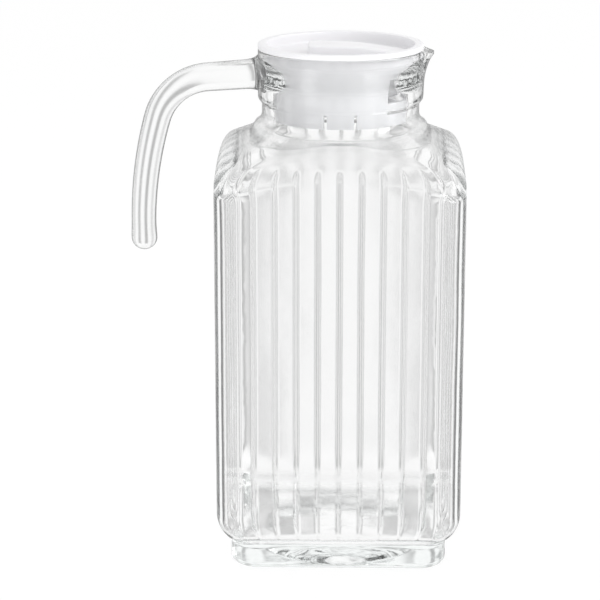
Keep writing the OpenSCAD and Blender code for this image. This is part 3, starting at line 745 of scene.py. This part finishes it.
def makeWorld():
    # The shade that a ray meets: the product of the strips, the cards and the two bands that it crosses.
    world = bpy.data.worlds.new("studio")
    bpy.context.scene.world = world
    world.use_nodes = True
    tree = world.node_tree
    tree.nodes.clear()
    ray = addNode(tree, "TexCoord").outputs["Generated"]
    x, y, z = addNode(tree, "SeparateXYZ", {"Vector": ray}).outputs

    def maths(operation, first, second=None):
        # A sum in the world's own tree.
        return addMath(tree, operation, first, second)

    def band(value, name):
        # The band's shade within its half width of its middle, and 1 beyond a soft edge.
        middle, half, soft, shade = studio[name]
        away = maths("ABSOLUTE", maths("SUBTRACT", value, middle))
        return addRamp(tree, away, half - soft / 2, half + soft / 2, shade, 1)

    # degrees from the nearest of the four axes; the strips stand only where the camera looks down to
    onward = maths("MODULO", maths("ADD", maths("ARCTAN2", y, x), 20.25 * np.pi), np.pi / 2)
    offAxis = maths("MULTIPLY", maths("SUBTRACT", onward, np.pi / 4), 180 / np.pi)
    strips = maths("MULTIPLY", band(offAxis, "leftStrip"), band(offAxis, "rightStrip"))
    strips = maths("MAXIMUM", strips, band(z, "view"))
    # degrees before or behind the two sides: dark cards draw the glass's edges, and paler, narrow ones
    # nearer the view darken the thick glass of the neck
    fromSide = maths("ARCTAN2", maths("ABSOLUTE", y), maths("ABSOLUTE", x))
    fromSide = maths("MULTIPLY", fromSide, 180 / np.pi)
    cards = maths("MULTIPLY", band(fromSide, "card"), band(fromSide, "edgeCard"))
    # both fade out above and below, where level bands draw the edges of level glass
    steep = addRamp(tree, maths("ABSOLUTE", z), *studio["steep"], 0, 1, "LINEAR")
    shade = maths("MAXIMUM", maths("MULTIPLY", strips, cards), steep)
    shade = maths("MULTIPLY", maths("MULTIPLY", shade, band(z, "highBand")), band(z, "lowBand"))
    # matt surfaces are lit by an even and dimmer room, so that the key light models them
    path = addNode(tree, "LightPath").outputs
    isMatt = maths("MINIMUM", path["Diffuse Depth"], 1.0)
    lit = maths("ADD", maths("MULTIPLY", maths("SUBTRACT", 1.0, isMatt), shade),
                maths("MULTIPLY", isMatt, studio["room"]))
    seen = maths("MAXIMUM", lit, path["Is Camera Ray"])
    background = addNode(tree, "Background", {"Color": seen})
    addNode(tree, "OutputWorld", {"Surface": background.outputs["Background"]})


def makeFloor():
    # A wide round floor, white to the camera with the shadow left in it, and open to rays that come
    # through the glass, which then see the studio below the horizon.
    sides, reachOut = studio["floorSides"], studio["floorReach"] / mm
    ring = np.linspace(0, 2 * np.pi, sides, endpoint=False)
    points = np.stack([reachOut * np.cos(ring), reachOut * np.sin(ring), np.full(sides, -0.02)], -1)
    points = np.concatenate([points, [[0, 0, -0.02]]])
    floor = buildMesh("floor", points, [poleFaces(0, sides, sides, True)], smooth=False)
    material, tree = newMaterial("floor_look")
    matt = addNode(tree, "BsdfDiffuse", {"Color": studio["floorTone"]}).outputs["BSDF"]
    glow = addNode(tree, "Emission", {"Color": (1, 1, 1, 1), "Strength": studio["floorGlow"]})
    clear = addNode(tree, "BsdfTransparent").outputs["BSDF"]
    path = addNode(tree, "LightPath").outputs
    white = addMixed(tree, studio["floorWhite"], matt, glow.outputs["Emission"])
    direct = addMixed(tree, path["Is Camera Ray"], matt, white)
    surface = addMixed(tree, path["Is Transmission Ray"], direct, clear)
    addNode(tree, "OutputMaterial", {"Surface": surface})
    floor.data.materials.append(material)


def placeAimed(name, data, place, aim):
    # An object that looks from its place to its aim, with its top upward.
    obj = bpy.data.objects.new(name, data)
    bpy.context.scene.collection.objects.link(obj)
    obj.location = place
    obj.rotation_euler = (Vector(aim) - Vector(place)).to_track_quat("-Z", "Y").to_euler()
    return obj


def makeLamp(name, place):
    # A rectangular lamp that takes its size, its power and its aim from the studio's values of that name.
    data = bpy.data.lights.new(name, "AREA")
    data.shape = "RECTANGLE"
    data.size, data.size_y = studio[name + "Size"]
    data.energy = studio[name]
    return placeAimed(name, data, place, studio[name + "Aim"])


def makeCamera():
    # The photograph's own angle: 15.6 degrees down, about a metre away, with a long lens.
    data = bpy.data.cameras.new("camera")
    data.sensor_width = 36
    data.lens = studio["lens"]
    data.clip_end = 100
    bpy.context.scene.camera = placeAimed("camera", data, studio["cameraPlace"], studio["cameraAim"])


# Assembly

unevenSurface = makeUnevenSurface()
glassLook = glassMaterial("clear_glass_look", glass["jugHaze"], True)
rodLook = glassMaterial("rod_glass_look", glass["rodHaze"], False)
plasticLook = plasticMaterial()
jugPiece = makeJug()
print("jug made:", len(jugPiece.data.polygons), "faces")
handlePiece = makeHandle()
print("handle made:", len(handlePiece.data.polygons), "faces")
lidPiece = makeLid()
print("lid made:", len(lidPiece.data.polygons), "faces")

for piece, look, body, node, finish in [
        (jugPiece, glassLook, "jug", "glass_jug", "clear_glass"),
        (handlePiece, rodLook, "jug", "glass_handle", "clear_glass"),
        (lidPiece, plasticLook, "lid", "lid", "white_plastic")]:
    piece.data.materials.clear()
    piece.data.materials.append(look)
    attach(piece, body)
    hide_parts(node)

makeWorld()
makeFloor()
makeLamp("key", studio["keyPlace"])
for side in (-1, 1):
    fillX, fillY, fillZ = studio["fillPlace"]
    fill = makeLamp("fill", (fillX * side, fillY, fillZ))
    fill.visible_glossy = False
    fill.visible_transmission = False
makeCamera()
scene = bpy.context.scene
scene.view_settings.view_transform = "Standard"
scene.cycles.max_bounces = 24
scene.cycles.transmission_bounces = 24
scene.cycles.transparent_max_bounces = 24
scene.cycles.glossy_bounces = 12
print("studio ready")
